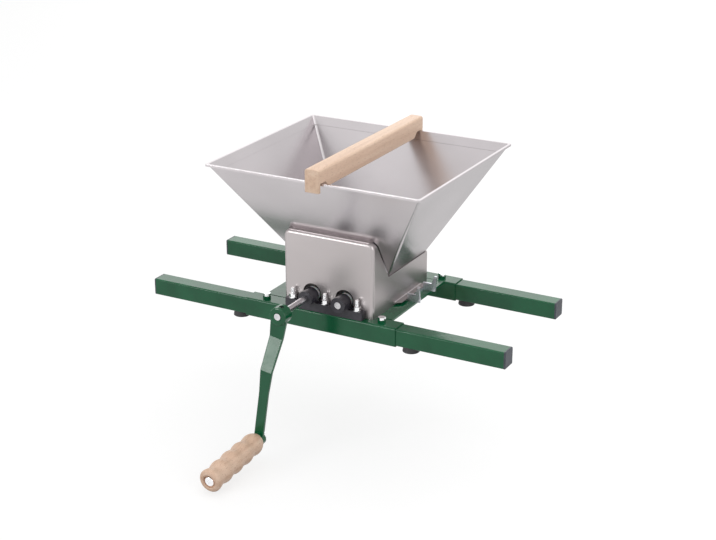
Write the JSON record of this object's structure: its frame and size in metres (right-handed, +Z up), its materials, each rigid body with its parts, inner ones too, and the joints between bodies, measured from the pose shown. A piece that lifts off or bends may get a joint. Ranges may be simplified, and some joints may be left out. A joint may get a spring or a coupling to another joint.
{
  "type": "apple scratter",
  "caption": "Hand-cranked fruit mill with a square sheet steel hopper over toothed rollers, on a tube frame whose arms pull out to rest across a tub.",
  "frame": {"origin": "in the plane of the undersides of the feet, below the middle of the hopper's mouth", "axes": "+Z up, -Y towards the crank, +X to the right as seen from the crank"},
  "size_m": [0.572, 0.4848, 0.4231],
  "materials": {
    "green_paint": "gloss",
    "stainless": "satin",
    "bright_steel": "polished",
    "zinc_plate": "satin",
    "shaft_steel": "ground",
    "nylon": "satin",
    "black_block": "satin",
    "black_cap": "matt",
    "black_rubber": "matt",
    "roller_metal": "satin",
    "gear_steel": "machined",
    "wood_bar": "oiled",
    "wood_grip": "oiled"
  },
  "bodies": {
    "frame": {"bearing_block_front": "black_block", "bearing_block_rear": "black_block", "bearing_nuts": "bright_steel", "bearing_studs": "bright_steel", "bearing_washers": "bright_steel", "box_rear_plate": "stainless", "box_shell": "stainless", "bracket_nuts": "zinc_plate", "bracket_screws": "zinc_plate", "bushes_front": "nylon", "bushes_rear": "nylon", "clamp_nuts": "green_paint", "clamp_screws": "bright_steel", "cross_plate_left": "green_paint", "cross_plate_right": "green_paint", "frame_tube_front": "green_paint", "frame_tube_rear": "green_paint", "gear_partition": "stainless", "hopper": "stainless", "side_bracket_left": "zinc_plate", "side_bracket_right": "zinc_plate", "side_guide_left": "stainless", "side_guide_right": "stainless"},
    "drive": {"drive_shaft": "shaft_steel", "drive_gear": "gear_steel", "drive_roller": "roller_metal", "drive_pins": "shaft_steel", "crank_arm": "green_paint", "crank_set_screw": "shaft_steel", "grip_bolt": "bright_steel", "grip_washer": "bright_steel", "grip_nut": "bright_steel"},
    "idler": {"idler_shaft": "shaft_steel", "idler_gear": "gear_steel", "idler_roller": "roller_metal", "idler_pins": "shaft_steel"},
    "grip": {"grip": "wood_grip"},
    "arm_front_left": {"arm_front_left": "green_paint", "end_cap_front_left": "black_cap", "foot_front_left": "black_rubber", "foot_screw_front_left": "zinc_plate"},
    "arm_front_right": {"arm_front_right": "green_paint", "end_cap_front_right": "black_cap", "foot_front_right": "black_rubber", "foot_screw_front_right": "zinc_plate"},
    "arm_rear_left": {"arm_rear_left": "green_paint", "end_cap_rear_left": "black_cap", "foot_rear_left": "black_rubber", "foot_screw_rear_left": "zinc_plate"},
    "arm_rear_right": {"arm_rear_right": "green_paint", "end_cap_rear_right": "black_cap", "foot_rear_right": "black_rubber", "foot_screw_rear_right": "zinc_plate"},
    "hopper_bar": {"hopper_bar": "wood_bar"}
  },
  "joints": [
    {"name": "crank_turn", "type": "hinge", "parent": "frame", "child": "drive", "pos_m": [-0.02625, 0, 0.055], "axis": [0, 1, 0], "continuous": true},
    {"name": "idler_turn", "type": "hinge", "parent": "frame", "child": "idler", "pos_m": [0.02625, 0, 0.055], "axis": [0, 1, 0], "continuous": true},
    {"name": "grip_spin", "type": "hinge", "parent": "drive", "child": "grip", "pos_m": [-0.05644, -0.204, -0.13562], "axis": [-0.012, -0.9971, -0.0758], "continuous": true},
    {"name": "arm_front_left_slide", "type": "slide", "parent": "frame", "child": "arm_front_left", "axis": [-1, 0, 0], "range_m": [0, 0.08]},
    {"name": "arm_front_right_slide", "type": "slide", "parent": "frame", "child": "arm_front_right", "axis": [1, 0, 0], "range_m": [0, 0.08]},
    {"name": "arm_rear_left_slide", "type": "slide", "parent": "frame", "child": "arm_rear_left", "axis": [-1, 0, 0], "range_m": [0, 0.08]},
    {"name": "arm_rear_right_slide", "type": "slide", "parent": "frame", "child": "arm_rear_right", "axis": [1, 0, 0], "range_m": [0, 0.08]},
    {"name": "bar_lift", "type": "slide", "parent": "frame", "child": "hopper_bar", "axis": [0, 0, 1], "range_m": [0, 0.06]}
  ],
  "couplings": [
    {"joint": "idler_turn", "follows": "crank_turn", "ratio": -1}
  ]
}
